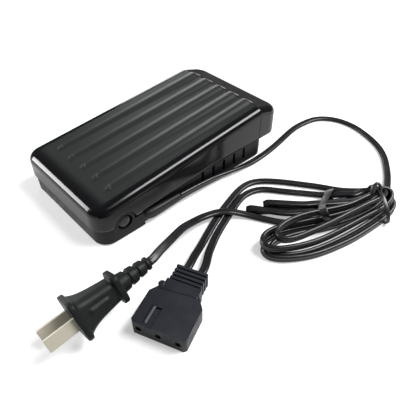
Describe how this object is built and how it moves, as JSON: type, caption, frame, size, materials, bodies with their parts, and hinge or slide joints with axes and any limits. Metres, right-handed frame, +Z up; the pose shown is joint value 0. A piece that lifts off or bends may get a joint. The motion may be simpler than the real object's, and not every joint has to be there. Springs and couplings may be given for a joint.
{
  "type": "sewing machine foot pedal",
  "caption": "Foot pedal speed control with a ribbed sprung treadle on a vented base, a flat lead tied in a hank, a moulded mains plug and a moulded machine connector.",
  "frame": {"origin": "on the floor under the middle of the pedal, leads left out", "axes": "+Z up, +Y from the low front edge to the high rear of the treadle, +X to the side where the lead comes out"},
  "size_m": [0.1725, 0.2603, 0.0396],
  "materials": {
    "base_plastic": "satin black",
    "gloss_black": "gloss black",
    "steel": "plated",
    "blackened_steel": "blackened",
    "rubber": "matte",
    "ceramic": "unglazed",
    "carbon": "pressed carbon",
    "brass": "stamped",
    "capacitor_case": "dipped",
    "wire_plastic": "satin",
    "lead_plastic": "satin black",
    "tie_plastic": "matte black",
    "plug_plastic": "matte dark grey",
    "blade_brass": "nickel plated",
    "connector_plastic": "matte black"
  },
  "bodies": {
    "base": {"base_tray": "base_plastic", "pivot_pins": "blackened_steel", "pivot_clips": "steel", "rubber_feet": "rubber", "foot_screws": "steel", "bump_stops": "rubber", "return_spring": "steel", "ceramic_block": "ceramic", "block_screws": "steel", "carbon_discs": "carbon", "end_contacts": "brass", "terminal_screws": "steel", "terminal_nuts": "brass", "lever_pin": "steel", "capacitor": "capacitor_case", "capacitor_leads": "steel", "cord_clamp": "steel", "clamp_screws": "steel", "inner_lead": "lead_plastic", "inner_wires": "wire_plastic", "strain_relief": "rubber", "pedal_lead": "lead_plastic", "plug_lead": "lead_plastic", "connector_lead_left": "lead_plastic", "connector_lead_right": "lead_plastic", "lead_hank": "lead_plastic", "hank_band": "tie_plastic", "twist_tie": "tie_plastic", "plug_body": "plug_plastic", "plug_blades": "blade_brass", "connector_body": "connector_plastic", "connector_sleeves": "brass"},
    "treadle": {"treadle": "gloss_black", "adjusting_screw": "steel", "adjusting_nut": "brass"},
    "lever": {"contact_lever": "brass", "contact_buttons": "brass", "lever_spring": "steel"}
  },
  "joints": [
    {"name": "treadle_hinge", "type": "hinge", "parent": "base", "child": "treadle", "pos_m": [0, -0.055, 0.0115], "axis": [1, 0, 0], "range_deg": [-5.5, 0], "stiffness_Nm_per_rad": 6, "springref_deg": 1.72, "deforming": ["return_spring"]},
    {"name": "lever_hinge", "type": "hinge", "parent": "base", "child": "lever", "pos_m": [0, -0.02, 0.0064], "axis": [1, 0, 0], "range_deg": [-11.9, 0]}
  ],
  "couplings": [
    {"joint": "lever_hinge", "follows": "treadle_hinge", "ratio": 2.15}
  ]
}
